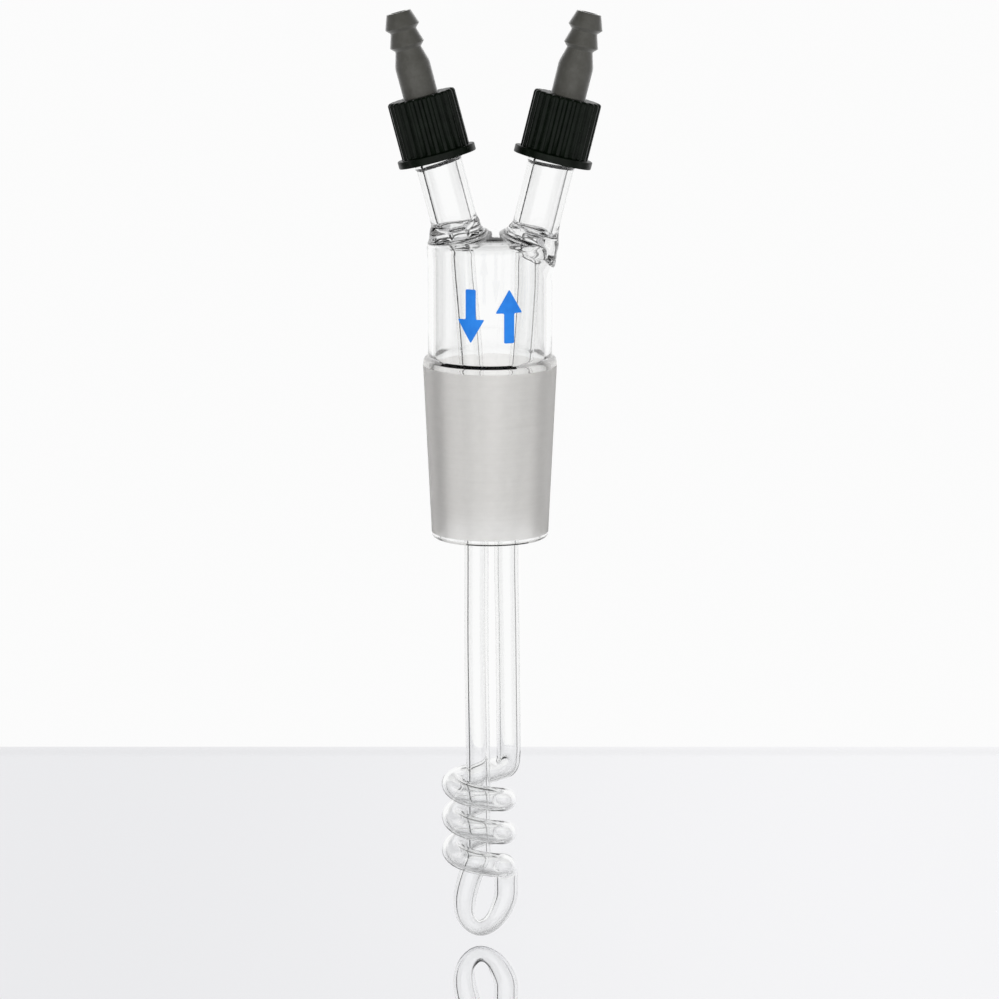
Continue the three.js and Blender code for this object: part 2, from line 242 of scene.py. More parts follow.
def smooth_curve(points, spacing):
    """Points along a centripetal Catmull-Rom curve, about spacing apart."""
    p = np.array(points, float)
    p = np.vstack([2 * p[0] - p[1], p, 2 * p[-1] - p[-2]])
    out = []
    for a, b, c, d in zip(p, p[1:], p[2:], p[3:]):
        t0 = 0.0
        t1 = t0 + math.sqrt(np.linalg.norm(b - a))
        t2 = t1 + math.sqrt(np.linalg.norm(c - b))
        t3 = t2 + math.sqrt(np.linalg.norm(d - c))
        steps = max(2, round(np.linalg.norm(c - b) / spacing))
        t = np.linspace(t1, t2, steps, endpoint=False)[:, None]
        ab = (t1 - t) / (t1 - t0) * a + (t - t0) / (t1 - t0) * b
        bc = (t2 - t) / (t2 - t1) * b + (t - t1) / (t2 - t1) * c
        cd = (t3 - t) / (t3 - t2) * c + (t - t2) / (t3 - t2) * d
        abc = (t2 - t) / (t2 - t0) * ab + (t - t0) / (t2 - t0) * bc
        bcd = (t3 - t) / (t3 - t1) * bc + (t - t1) / (t3 - t1) * cd
        out.append((t2 - t) / (t2 - t1) * abc + (t - t1) / (t2 - t1) * bcd)
    return np.vstack([*out, p[-2:-1]])


def arm_point(side, height):
    """A point on the arm's axis, by its height above the cap's flange."""
    flange, axes = ARMS[side]
    return flange + axes[2] * height


def tube_points():
    """The coolant tube's centre line: left leg, loop, coil from its lower end, elbow and right leg."""
    count = round((COIL_TO - COIL_FROM) / TAU * COIL_POINTS_PER_TURN)
    coil = [
        (
            COIL_CENTRE_X + COIL_RADIUS * math.cos(angle),
            COIL_RADIUS * math.sin(angle),
            COIL_TOP_Z - COIL_PITCH * angle / TAU,
        )
        for angle in np.linspace(COIL_TO, COIL_FROM, count + 1)
    ]
    return [
        arm_point("left", ARM_FLOOR["left"] + 1), arm_point("left", ARM_FOOT["left"]),
        (-6.8, 0, 25), (-5.7, 0, 12), (-4.8, 0, 0), (-3.9, 0, -20), (-3.55, 0, -44),
        (-3.55, 0, -75), (-3.1, 0, -108), (-3.1, 0, -126.5), (-3.1, 0, -129), (-3.6, 0, -131.2),
        (-5.4, 0, -135.8), (-6.5, 0, -141.4), (-5.7, 0.4, -145.6), LOOP_FOOT, (0.7, 1.7, -146.6),
        (3.8, 2.4, -141.8), (4.1, 2.4, -137.2), (4.1, 1.4, -133.8),
        *coil,
        (-7.4, 4.7, -109.9), (-2.8, 6.6, -109.2), (1.6, 4.9, -107.6), (4.3, 1.2, -105.6),
        (4.8, -0.6, -102.4), (4.8, -0.8, -98), (4.5, -0.3, -70), (4.3, 0, -44), (6, 0, -22), (8, 0, 0),
        (8.9, 0, 12), (9.5, 0, 22), arm_point("right", ARM_FOOT["right"]),
        arm_point("right", ARM_FLOOR["right"] + 1),
    ]


def thinned(line, longest=2.5, shortest=0.55, bend=math.radians(3)):
    """Keeps a point where the line has turned enough or run far enough since the last one."""
    kept = [line[0]]
    last = line[1] - line[0]
    for here, after in zip(line[1:], line[2:]):
        run = np.linalg.norm(here - kept[-1])
        turned = unit(last) @ unit(after - here)
        if run > longest or (run > shortest and turned < math.cos(bend)):
            kept.append(here)
            last = after - here
    return np.array([*kept, line[-1]])


TUBE_LINE = thinned(smooth_curve(tube_points(), 0.2))
HEAD_TUBE_Z = HEAD_CUT_Z - 6  # the head's form follows the tube down to here
LEFT_TOP = TUBE_LINE[: np.argmax(TUBE_LINE[:, 2] < HEAD_TUBE_Z)]
RIGHT_TOP = TUBE_LINE[len(TUBE_LINE) - np.argmax(TUBE_LINE[::-1, 2] < HEAD_TUBE_Z) :]


def sweep_rings(line, radius, sides):
    """Rings of points round the line; the loop's foot is flattened where the bend is tightest."""
    tangent = unit(np.gradient(line, axis=0))
    side = unit(np.cross(tangent[0], (0.0, 1.0, 0.0)))
    angle = np.arange(sides) / sides * TAU
    rings = []
    for point, along in zip(line, tangent):
        side = unit(side - along * (side @ along))
        other = np.cross(along, side)
        ring = radius * (np.cos(angle)[:, None] * side + np.sin(angle)[:, None] * other)
        share = math.exp(-((np.linalg.norm(point - LOOP_FOOT) / PINCH_LENGTH) ** 2))
        outward = point - LOOP_CENTRE
        outward = unit(outward - along * (outward @ along))
        across = np.cross(along, outward)
        ring = ring - PINCH_DEPTH * share * (ring @ outward)[:, None] * outward
        ring = ring + PINCH_SPREAD * share * (ring @ across)[:, None] * across
        rings.append(point + TUBE_RADIUS * PINCH_DEPTH * share * outward + ring)
    return np.array(rings)


# ---------------------------------------------------------------- head: chamber top, arms and ring seals


def smooth_min(a, b, k):
    """The smaller, blended where the two are less than k apart."""
    h = np.clip(k - np.abs(a - b), 0, None) / k
    return np.minimum(a, b) - h * h * k / 4


def smooth_max(a, b, k):
    return -smooth_min(-a, -b, k)


def dome(p, radius, rise):
    """Upright cylinder under an elliptical dome."""
    up = np.clip(p[:, 2] - SHOULDER_Z, 0, None)
    out = np.hypot(p[:, 0], p[:, 1])
    k0 = np.sqrt((out / radius) ** 2 + (up / rise) ** 2)
    k1 = np.sqrt((out / radius**2) ** 2 + (up / rise**2) ** 2)
    return k0 * (k0 - 1) / np.maximum(k1, 1e-9)


def rod(out, along, radius, low, high, rounding):
    """Cylinder between two heights with rounded edges, in its own radius and height."""
    a = out - (radius - rounding)
    b = np.abs(along - (low + high) / 2) - ((high - low) / 2 - rounding)
    return np.hypot(np.clip(a, 0, None), np.clip(b, 0, None)) + np.minimum(np.maximum(a, b), 0) - rounding


def line_distance(p, line):
    """Distance to the nearest part of a line of points."""
    best = np.full(len(p), np.inf)
    for a, b in zip(line, line[1:]):
        ab = b - a
        t = np.clip((p - a) @ ab / (ab @ ab), 0, 1)
        best = np.minimum(best, np.linalg.norm(p - a - t[:, None] * ab, axis=1))
    return best


def thread(q, out):
    """The arm's screw ridge: a round bar on a right-handed helix, tapered at both ends."""
    turn = np.arctan2(q[:, 1], q[:, 0]) / TAU
    nearest = np.round((q[:, 2] - THREAD_BOTTOM) / THREAD_PITCH - turn)
    best = np.full(len(q), np.inf)
    for n in (nearest - 1, nearest, nearest + 1):
        wound = np.clip(turn + n, THREAD_START, THREAD_TURNS)
        to_end = np.minimum(wound - THREAD_START, THREAD_TURNS - wound)
        radius = THREAD_RADIUS * (THREAD_END + (1 - THREAD_END) * smooth_step(0, THREAD_FADE, to_end))
        rise = q[:, 2] - THREAD_BOTTOM - THREAD_PITCH * wound
        beyond = (turn + n - wound) * TAU * THREAD_CENTRE
        best = np.minimum(best, np.sqrt((out - THREAD_CENTRE) ** 2 + rise**2 + beyond**2) - radius)
    return best


def head(p):
    """About the signed distance to the glass above the cut; each blend's width is in millimetres."""
    shell = dome(p, CHAMBER_RADIUS, DOME_RISE)
    outer = shell
    plugs = np.full(len(p), np.inf)
    bores = np.full(len(p), np.inf)
    for side, line in (("left", LEFT_TOP), ("right", RIGHT_TOP)):
        flange, axes = ARMS[side]
        q = (p - flange) @ axes.T
        out, along = np.hypot(q[:, 0], q[:, 1]), q[:, 2]
        foot = ARM_FOOT[side]
        arm = rod(out, along, ARM_RADIUS, foot, ARM_RIM, ARM_EDGE)
        angle = np.arctan2(q[:, 1], q[:, 0])
        level = along + ARM_SLANT[side] * q[:, 0]
        height, radius, thickness = BEAD
        sway = 0.2 * np.sin(2 * angle + height) + 0.12 * np.sin(3 * angle)
        bead = np.hypot(out - radius, level - foot - height - sway) - thickness
        towards_other = np.cos(angle) if side == "left" else -np.cos(angle)
        inner = smooth_step(*INNER, towards_other)
        seam = np.hypot(shell, arm) - WELD * (1 - WELD_LOSS * inner)
        arm = smooth_min(arm, bead, 0.8)
        arm = smooth_min(arm, thread(q, out), 0.4)
        blend = ARM_BLEND + (INNER_BLEND - ARM_BLEND) * inner
        outer = smooth_min(smooth_min(outer, arm, blend), seam, 0.8)
        centre = line_distance(p, line)
        plug = rod(out, level, ARM_RADIUS, foot + PLUG_RISE, ARM_RIM + 2, 1.6)
        plug = smooth_min(plug, centre - TUBE_RADIUS, 1.4)
        plugs = np.minimum(plugs, plug)
        bore = rod(out, level, ARM_BORE, ARM_FLOOR[side], ARM_RIM + 9, 1.5)
        bores = np.minimum(bores, smooth_min(bore, centre - TUBE_BORE, 2.0))
    vapour = smooth_max(outer + CHAMBER_WALL, -plugs, 1.0)
    return smooth_max(smooth_max(outer, -vapour, 0.3), -bores, 0.7)


def implicit_surface(distance, low, high, cell):
    """Points and quads of the surface where distance is zero, by the dual of a regular grid."""
    axes = [np.arange(a, b + cell, cell) for a, b in zip(low, high)]
    shape = tuple(len(a) for a in axes)
    grid = np.stack(np.meshgrid(*axes, indexing="ij"), -1).reshape(-1, 3)
    value = np.concatenate([distance(part) for part in np.array_split(grid, 16)]).reshape(shape)
    inside = value < 0
    cells = tuple(n - 1 for n in shape)
    total = np.zeros((*cells, 3))
    count = np.zeros(cells)
    for axis in range(3):
        others = [i for i in range(3) if i != axis]
        a = np.moveaxis(value, axis, 0)[:-1]
        b = np.moveaxis(value, axis, 0)[1:]
        crossed = (a < 0) != (b < 0)
        t = np.where(crossed, a / np.where(crossed, a - b, 1), 0)
        crossed, t = (np.moveaxis(x, 0, axis) for x in (crossed, t))
        for shift in ((0, 0), (0, 1), (1, 0), (1, 1)):
            pick = [slice(None)] * 3
            for o, s in zip(others, shift):
                pick[o] = slice(s, s + cells[o])
            here = crossed[tuple(pick)]
            offset = np.zeros((*cells, 3))
            offset[..., axis] = t[tuple(pick)]
            for o, s in zip(others, shift):
                offset[..., o] = s
            total += offset * here[..., None]
            count += here
    used = count > 0
    number = np.full(cells, -1)
    number[used] = np.arange(used.sum())
    corner = np.stack(np.nonzero(used), -1)
    points = np.array(low) + (corner + total[used] / count[used][:, None]) * cell
    quads = []
    for axis in range(3):
        o1, o2 = [(axis + 1) % 3, (axis + 2) % 3]
        at = [slice(None)] * 3
        at[axis] = slice(0, -1)
        next_at = list(at)
        next_at[axis] = slice(1, None)
        first, second = inside[tuple(at)], inside[tuple(next_at)]
        where = np.stack(np.nonzero(first != second), -1)
        where = where[(where[:, o1] > 0) & (where[:, o2] > 0)]
        where = where[(where[:, o1] < cells[o1]) & (where[:, o2] < cells[o2])]
        around = []
        for s1, s2 in ((-1, -1), (0, -1), (0, 0), (-1, 0)):
            w = where.copy()
            w[:, o1] += s1
            w[:, o2] += s2
            around.append(number[tuple(w.T)])
        quad = np.stack(around, -1)
        flip = ~first[tuple(where.T)]
        quad[flip] = quad[flip][:, ::-1]
        quads.append(quad)
    return points, np.vstack(quads)


def settle(points, quads, distance, passes):
    """Evens the quads out along the surface, and puts every point exactly on it."""
    edges = np.vstack([quads[:, [i, (i + 1) % 4]] for i in range(4)])
    for _ in range(passes):
        total = np.zeros_like(points)
        count = np.zeros(len(points))
        for a, b in ((0, 1), (1, 0)):
            np.add.at(total, edges[:, a], points[edges[:, b]])
            np.add.at(count, edges[:, a], 1)
        points = points + 0.5 * (total / np.maximum(count, 1)[:, None] - points)
        for _ in range(2):
            step = 0.01
            here = distance(points)
            slope = np.stack([distance(points + step * e) - here for e in np.eye(3)], -1) / step
            points = points - (here / np.maximum((slope**2).sum(1), 0.1))[:, None] * slope
    return points


# ---------------------------------------------------------------- the fused glass body

CLEAR, GROUND, PAINTED_SHADE_LINE = range(3)  # the glass body's materials; the third is near-black glass for the painted shade lines


class Body:
    """Collects points and faces, each face with its material's number."""

    def __init__(self):
        self.points = []
        self.faces = []
        self.materials = []

    def add(self, points, faces):
        start = len(self.points)
        self.points.extend(map(tuple, points))
        self.faces.extend([tuple(start + i for i in f) for f in faces])
        self.materials.extend([CLEAR] * len(faces))
        return start

    def tube(self, rings, material=lambda i, j: CLEAR):
        """Closed rings in order, joined by quads; returns the first and last ring's indices."""
        sides = rings.shape[1]
        start = self.add(rings.reshape(-1, 3), [])
        for i in range(len(rings) - 1):
            for j in range(sides):
                k = (j + 1) % sides
                a, b = start + i * sides, start + (i + 1) * sides
                self.faces.append((a + j, a + k, b + k, b + j))
                self.materials.append(material(i, j))
        last = start + (len(rings) - 1) * sides
        return list(range(start, start + sides)), list(range(last, last + sides))

    def zip(self, one, other):
        """Joins two loops of points round the same upright axis by a strip of triangles."""
        centre = np.mean([self.points[i] for i in other], axis=0)

        def by_angle(loop):
            at = [math.atan2(self.points[i][1] - centre[1], self.points[i][0] - centre[0]) for i in loop]
            order = sorted(range(len(loop)), key=lambda n: at[n])
            return [loop[n] for n in order], [at[n] for n in order]

        (a, angle_a), (b, angle_b) = by_angle(one), by_angle(other)
        i = j = 0
        while i < len(a) or j < len(b):
            next_a = angle_a[i + 1] if i + 1 < len(a) else angle_a[0] + TAU
            next_b = angle_b[j + 1] if j + 1 < len(b) else angle_b[0] + TAU
            if j >= len(b) or (i < len(a) and next_a <= next_b):
                self.faces.append((a[i % len(a)], a[(i + 1) % len(a)], b[j % len(b)]))
                i += 1
            else:
                self.faces.append((a[i % len(a)], b[(j + 1) % len(b)], b[j % len(b)]))
                j += 1
            self.materials.append(CLEAR)


def cut_head():
    """The head's mesh, cut flat at the cut height: points, faces and the open loops."""
    points, quads = implicit_surface(head, HEAD_LOW, HEAD_HIGH, CELL)
    points = settle(points, quads, head, 3)
    bm = bmesh.new()
    verts = [bm.verts.new(p) for p in points]
    for quad in quads:
        if len(set(quad)) == 4:
            bm.faces.new([verts[i] for i in quad])
    bmesh.ops.bisect_plane(
        bm,
        geom=[*bm.verts, *bm.edges, *bm.faces],
        dist=1e-3,
        plane_co=(0, 0, HEAD_CUT_Z),
        plane_no=(0, 0, 1),
        clear_inner=True,
    )
    bmesh.ops.delete(bm, geom=[v for v in bm.verts if not v.link_faces], context="VERTS")
    bm.verts.index_update()
    rim_edges = [e for e in bm.edges if e.is_boundary]
    neighbours = {}
    for e in rim_edges:
        for v, w in (e.verts, reversed(e.verts[:])):
            neighbours.setdefault(v.index, []).append(w.index)
    loops, seen = [], set()
    for start in neighbours:
        if start in seen:
            continue
        loop, here = [], start
        while here is not None:
            seen.add(here)
            loop.append(here)
            here = next((n for n in neighbours[here] if n not in seen), None)
        loops.append(loop)
    points = np.array([v.co[:] for v in bm.verts])
    faces = [[v.index for v in f.verts] for f in bm.faces]
    bm.free()
    return points, faces, loops


def turned_profile():
    """Profile of the cone and chamber: down the outside from the cut, round the rim, up the inside."""
    small = CONE_LARGE_RADIUS - CONE_LENGTH * CONE_TAPER
    top = HEAD_CUT_Z - SEAM
    profile = [(CHAMBER_RADIUS, z) for z in np.linspace(top, FLARE[0][1] + 1, 6)]
    profile.extend(FLARE)
    ground_from = len(profile)
    for z in np.linspace(GROUND_TOP, GROUND_FOOT, 24):
        profile.append((CONE_LARGE_RADIUS + z * CONE_TAPER, z))
    ground_to = len(profile) - 1
    rim_z = -CONE_LENGTH + CONE_RIM
    for a in np.linspace(0, -math.pi / 2, 9):
        profile.append((small + CONE_RIM * (math.cos(a) - 1), rim_z + CONE_RIM * math.sin(a)))
    inner_small = small - CONE_WALL
    for a in np.linspace(-math.pi / 2, -math.pi, 8)[1:]:
        profile.append((inner_small + INNER_RIM + INNER_RIM * math.cos(a), rim_z + CONE_RIM * math.sin(a)))
    wall = CHAMBER_RADIUS - CHAMBER_WALL
    inner_large = wall + INNER_STEP
    for t in np.linspace(0, 1, 16)[1:]:
        profile.append((inner_small + (inner_large - inner_small) * t, rim_z + (INNER_TOP - rim_z) * t))
    for t in np.linspace(0, 1, 8)[1:]:
        r = inner_large + (wall - inner_large) * smooth_step(0, 1, t)
        profile.append((r, INNER_TOP + (BAND_TOP - INNER_TOP) * t))
    profile.extend((wall, z) for z in np.linspace(BAND_TOP, top, 9)[1:])
    return profile, ground_from, ground_to


def glass_body():
    """The blended head, the turned cone and chamber, and the tube's outer and inner walls, as one mesh."""
    body = Body()
    points, faces, loops = cut_head()
    body.add(points, faces)

    profile, ground_from, ground_to = turned_profile()
    angle = np.arange(TURNED_SIDES) / TURNED_SIDES * TAU
    rings = np.array([[(r * math.cos(a), r * math.sin(a), z) for a in angle] for r, z in profile])
    crisp = smooth_step(*CRISP, np.cos(angle - math.radians(LEDGE_AT)))
    easy = smooth_step(*EASY, np.sin(angle))
    growth = CONE_LARGE_RADIUS - CHAMBER_RADIUS
    for ring, (r, z) in zip(rings, profile):
        if r > CHAMBER_RADIUS - 0.01 and GROUND_TOP + 0.05 < z < EASY_TOP:
            ledge = CHAMBER_RADIUS + growth * np.clip((LEDGE_TOP - z) / (LEDGE_TOP - LEDGE_FOOT), 0, 1)
            slope = CHAMBER_RADIUS + growth * smooth_step(0, 1, (EASY_TOP - z) / (EASY_TOP - GROUND_TOP))
            radius = r + (ledge - r) * crisp + (slope - r) * easy
            ring[:, 0] = radius * np.cos(angle)
            ring[:, 1] = radius * np.sin(angle)
    rim_from, rim_to = (ground_to + row for row in RIM_LINE_ROWS)

    def zone(i, j):
        """The material of face j of row i: clear, ground, or the near-black glass of a painted shade line.
        """
        if ground_from <= i < ground_to:
            return GROUND
        at = (j + 0.5) / TURNED_SIDES * 360
        # painted shade: a band of near-black glass under the rim
        if rim_from <= i < rim_to:
            return PAINTED_SHADE_LINE if abs(at - RIM_LINE_AT) < RIM_LINE_HALF else CLEAR
        (r, z), (_, z_below) = profile[i], profile[i + 1]
        on_ledge = r > CHAMBER_RADIUS and LEDGE_FOOT - 0.01 < z_below and z < LEDGE_TOP + 0.01
        half = LEDGE_HALF - LEDGE_TAPER * (z - LEDGE_FOOT) / (LEDGE_TOP - LEDGE_FOOT)
        return PAINTED_SHADE_LINE if on_ledge and abs(at - LEDGE_AT) < half else CLEAR

    open_rings = list(body.tube(rings, zone))

    below = TUBE_LINE[:, 2] < HEAD_CUT_Z - SEAM
    line = TUBE_LINE[np.argmax(below) : len(below) - np.argmax(below[::-1])]
    for radius, sides in ((TUBE_RADIUS, TUBE_SIDES), (TUBE_BORE, BORE_SIDES)):
        open_rings.extend(body.tube(sweep_rings(line, radius, sides)))

    for loop in loops:
        centre, size = ring_measure(body, loop)
        ring = min(open_rings, key=lambda r: ring_mismatch(body, r, centre, size))
        open_rings.remove(ring)
        body.zip(loop, ring)
    obj = mesh_object("glass_body", body.points, body.faces, body.materials)
    bm = bmesh.new()
    bm.from_mesh(obj.data)
    bmesh.ops.recalc_face_normals(bm, faces=bm.faces)
    bm.to_mesh(obj.data)
    bm.free()
    return obj


def ring_measure(body, ring):
    """The middle and width of a ring of points."""
    at = np.array([body.points[i] for i in ring])
    centre = (at.max(0) + at.min(0)) / 2
    return centre, np.ptp(at[:, 0])


def ring_mismatch(body, ring, centre, size):
    c, s = ring_measure(body, ring)
    return np.linalg.norm((c - centre)[:2]) + abs(s - size)


glass = glass_body()
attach(glass, "glass")
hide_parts("ground_cone", "upper_chamber", "left_arm", "right_arm", "left_leg", "bottom_loop",
            "cooling_coil", "right_leg")


# ---------------------------------------------------------------- turned and moulded pieces


def rounded(corners, steps=4):
    """A profile whose corners (r, z, rounding) are each replaced by a smooth bend."""
    out = []
    for i, (r, z, rounding) in enumerate(corners):
        here = np.array((r, z), float)
        if rounding == 0:
            out.append(here)
            continue
        before = np.array(corners[i - 1][:2], float)
        after = np.array(corners[(i + 1) % len(corners)][:2], float)
        a = here + unit(before - here) * rounding
        b = here + unit(after - here) * rounding
        for t in np.linspace(0, 1, steps + 1):
            out.append((1 - t) ** 2 * a + 2 * t * (1 - t) * here + t * t * b)
    return out


def turned_piece(name, side, profile, sides, ripple=None):
    """A closed profile turned about the side's axis; ripple(r, z, angle) may move the radius."""
    flange, axes = ARMS[side]
    angle = np.arange(sides) / sides * TAU
    rings = []
    for r, z in profile:
        radius = np.full(sides, r) if ripple is None else ripple(r, z, angle)
        local = np.stack([radius * np.cos(angle), radius * np.sin(angle), np.full(sides, z)], -1)
        rings.append(flange + local @ axes)
    rows = len(rings)
    faces = []
    for i in range(rows):
        for j in range(sides):
            a, b = i * sides, (i + 1) % rows * sides
            k = (j + 1) % sides
            faces.append((a + j, a + k, b + k, b + j))
    return mesh_object(name, np.vstack(rings), faces)


def cap(side):
    """Screw cap: ribs that run out over the rounded top edge, a flange, and the thread inside."""
    wall_top = CAP_HEIGHT - CAP_PLATE
    corners = [
        (CAP_BORE + 0.4, 0, 0.15),
        (CAP_FLANGE_RADIUS, 0, 0.3),
        (CAP_FLANGE_RADIUS, CAP_FLANGE, 0.3),
        (CAP_RADIUS, CAP_FLANGE + 0.05, 0.25),
        (CAP_RADIUS, CAP_HEIGHT / 2, 0),
        (CAP_RADIUS, CAP_HEIGHT, CAP_EDGE),
        (CAP_HOLE + 0.5, CAP_HEIGHT, 0),
        (CAP_HOLE, CAP_HEIGHT, 0.3),
        (CAP_HOLE, wall_top, 0.2),
        (CAP_BORE, wall_top, 0.4),
    ]
    profile = rounded(corners, 6)
    profile.extend((CAP_BORE, z) for z in np.arange(wall_top - 0.6, 0.6, -0.2))
    profile.append((CAP_BORE, 0.4))

    def ripple(r, z, angle):
        if r > CAP_RADIUS - CAP_EDGE - 0.05 and z > CAP_FLANGE:
            phase = (angle / TAU * RIB_COUNT - RIB_PHASE + 0.5) % 1 - 0.5
            groove = smooth_step(*RIB_SIDE, np.abs(phase))
            return r - RIB_DEPTH * groove * smooth_step(CAP_FLANGE, CAP_FLANGE + 0.3, z)
        if abs(r - CAP_BORE) < 0.01 and z < wall_top - 0.5:
            turn = angle / TAU
            start = THREAD_BOTTOM + THREAD_PITCH / 2
            n = np.round((z - start) / THREAD_PITCH - turn)
            wound = np.clip(turn + n, 0, CAP_TURNS)
            off = (z - start - THREAD_PITCH * wound) / CAP_RIDGE
            fade = smooth_step(-0.05, 0.15, np.minimum(wound, CAP_TURNS - wound))
            return r - CAP_RIDGE * fade * np.sqrt(np.clip(1 - off**2, 0, 1))
        return np.full(len(angle), r)

    return turned_piece(f"{side}_cap_shell", side, profile, RIB_COUNT * 12, ripple)


def nozzle(side):
    """Hose nozzle: spigot, collar, stem and barbs, with a fine parting line down both sides."""
    tip = CAP_HEIGHT + NOZZLE_TIP
    upper = tip - BARB_TIP
    lower = upper - BARB_SPACING
    collar_top = CAP_HEIGHT - CAP_PLATE - GAP
    collar = collar_top - COLLAR
    foot = collar - SPIGOT
    profile = rounded([
        (NOZZLE_BORE, foot, 0.2),
        (SPIGOT_RADIUS, foot, 0.25),
        (SPIGOT_RADIUS, collar, 0.2),
        (COLLAR_RADIUS, collar, 0.15),
        (COLLAR_RADIUS, collar_top, 0.2),
        (STEM_RADIUS, collar_top, 0.15),
        (STEM_RADIUS, CAP_HEIGHT + STEM_TOP, 0.8),
        (NECK_RADIUS, lower - BARB_BACK, 0.25),
        (BARB_RADIUS, lower, 0.12),
        (NECK_RADIUS, upper - BARB_BACK, 0.25),
        (BARB_RADIUS, upper, 0.12),
        (TIP_RADIUS, tip, 0.2),
        (NOZZLE_BORE, tip, 0.2),
    ], 5)

    def ripple(r, z, angle):
        if r < SPIGOT_RADIUS - 0.6 or z < CAP_HEIGHT - 1:
            return np.full(len(angle), r)
        off = np.abs((angle / math.pi + 0.5) % 1 - 0.5) * math.pi * r
        return r + PARTING * np.exp(-((off / PARTING_WIDTH) ** 2))

    return turned_piece(f"{side}_nozzle_moulding", side, profile, 180, ripple)


def seal(side):
    """Flat silicone ring between the glass rim and the nozzle's collar."""
    top = CAP_HEIGHT - CAP_PLATE - GAP - COLLAR - GAP
    foot = ARM_RIM + GAP
    profile = rounded([
        (SEAL_HOLE, foot, SEAL_EDGE),
        (SEAL_RADIUS, foot, SEAL_EDGE),
        (SEAL_RADIUS, top, SEAL_EDGE),
        (SEAL_HOLE, top, SEAL_EDGE),
    ])
    return turned_piece(f"{side}_silicone_ring", side, profile, 72)


# ---------------------------------------------------------------- flow arrows


def arrow(name, x, z, direction):
    """A raised enamel arrow that follows the chamber's front, pointing up (1) or down (-1)."""
    outline = [
        (-ARROW_SHAFT, -ARROW_HEIGHT), (ARROW_SHAFT, -ARROW_HEIGHT), (ARROW_SHAFT, ARROW_NECK),
        (ARROW_HEAD, ARROW_NECK), (0, ARROW_HEIGHT), (-ARROW_HEAD, ARROW_NECK), (-ARROW_SHAFT, ARROW_NECK),
    ]
    smooth = rounded([(u, v, ARROW_CORNER) for u, v in outline], 5)
    bm = bmesh.new()
    bm.faces.new([bm.verts.new((u, 0, v * direction)) for u, v in smooth])
    for cut in np.arange(-ARROW_HEAD + ARROW_STRIP, ARROW_HEAD, ARROW_STRIP):
        geometry = [*bm.verts, *bm.edges, *bm.faces]
        bmesh.ops.bisect_plane(bm, geom=geometry, plane_co=(cut, 0, 0), plane_no=(1, 0, 0))
    top = bmesh.ops.extrude_face_region(bm, geom=bm.faces[:])
    raised = {v for v in top["geom"] if isinstance(v, bmesh.types.BMVert)}
    for v in bm.verts:
        angle = (v.co.x + x) / CHAMBER_RADIUS
        r = CHAMBER_RADIUS + (ARROW_TOP if v in raised else ARROW_FOOT)
        v.co = Vector((r * math.sin(angle), -r * math.cos(angle), v.co.z + z)) * MM
    bmesh.ops.recalc_face_normals(bm, faces=bm.faces)
    mesh = bpy.data.meshes.new(name)
    bm.to_mesh(mesh)
    bm.free()
    obj = bpy.data.objects.new(name, mesh)
    bpy.context.scene.collection.objects.link(obj)
    return obj


# ---------------------------------------------------------------- materials

GLASS_IOR = 1.474
GROUND_ROUGHNESS = 0.5


class Nodes:
    """Short forms for building a node tree."""

    def __init__(self, tree):
        self.tree = tree

    def set(self, socket, value):
        if isinstance(value, bpy.types.NodeSocket):
            self.tree.links.new(value, socket)
        else:
            socket.default_value = value

    def noise(self, scale, detail, roughness, stretch=(1, 1, 1)):
        """Noise over the piece's own coordinates, scale in cells a metre."""
        coord = self.tree.nodes.new("ShaderNodeTexCoord")
        mapping = self.tree.nodes.new("ShaderNodeMapping")
        mapping.inputs["Scale"].default_value = stretch
        self.set(mapping.inputs["Vector"], coord.outputs["Object"])
        n = self.tree.nodes.new("ShaderNodeTexNoise")
        n.inputs["Scale"].default_value = scale
        n.inputs["Detail"].default_value = detail
        n.inputs["Roughness"].default_value = roughness
        self.set(n.inputs["Vector"], mapping.outputs["Vector"])
        return n.outputs["Fac"]

    def math(self, operation, *values):
        n = self.tree.nodes.new("ShaderNodeMath")
        n.operation = operation
        for socket, value in zip(n.inputs, values):
            self.set(socket, value)
        return n.outputs[0]

    def smooth(self, value, low, high, out_low=0.0, out_high=1.0):
        n = self.tree.nodes.new("ShaderNodeMapRange")
        n.interpolation_type = "SMOOTHSTEP"
        for socket, v in zip(n.inputs, (value, low, high, out_low, out_high)):
            self.set(socket, v)
        return n.outputs[0]

    def weighted(self, one, share, other, other_share):
        return self.math("ADD", self.math("MULTIPLY", one, share), self.math("MULTIPLY", other, other_share))

    def colour(self, factor, low, high):
        """A colour between two, by the factor."""
        n = self.tree.nodes.new("ShaderNodeMix")
        n.data_type = "RGBA"
        n.inputs["A"].default_value = (*low, 1)
        n.inputs["B"].default_value = (*high, 1)
        self.set(n.inputs["Factor"], factor)
        return n.outputs["Result"]

    def bump(self, height, distance):
        """A normal that follows the height; the distance is in metres."""
        n = self.tree.nodes.new("ShaderNodeBump")
        n.inputs["Distance"].default_value = distance
        self.set(n.inputs["Height"], height)
        return n.outputs["Normal"]


def new_material(name):
    m = bpy.data.materials.new(name)
    m.use_nodes = True
    return m, Nodes(m.node_tree), m.node_tree.nodes["Principled BSDF"]


def glass_material(name, colour):
    m, _, s = new_material(name)
    s.inputs["Base Color"].default_value = (*colour, 1)
    s.inputs["Roughness"].default_value = 0.0
    s.inputs["IOR"].default_value = GLASS_IOR
    s.inputs["Transmission Weight"].default_value = 1.0
    return m


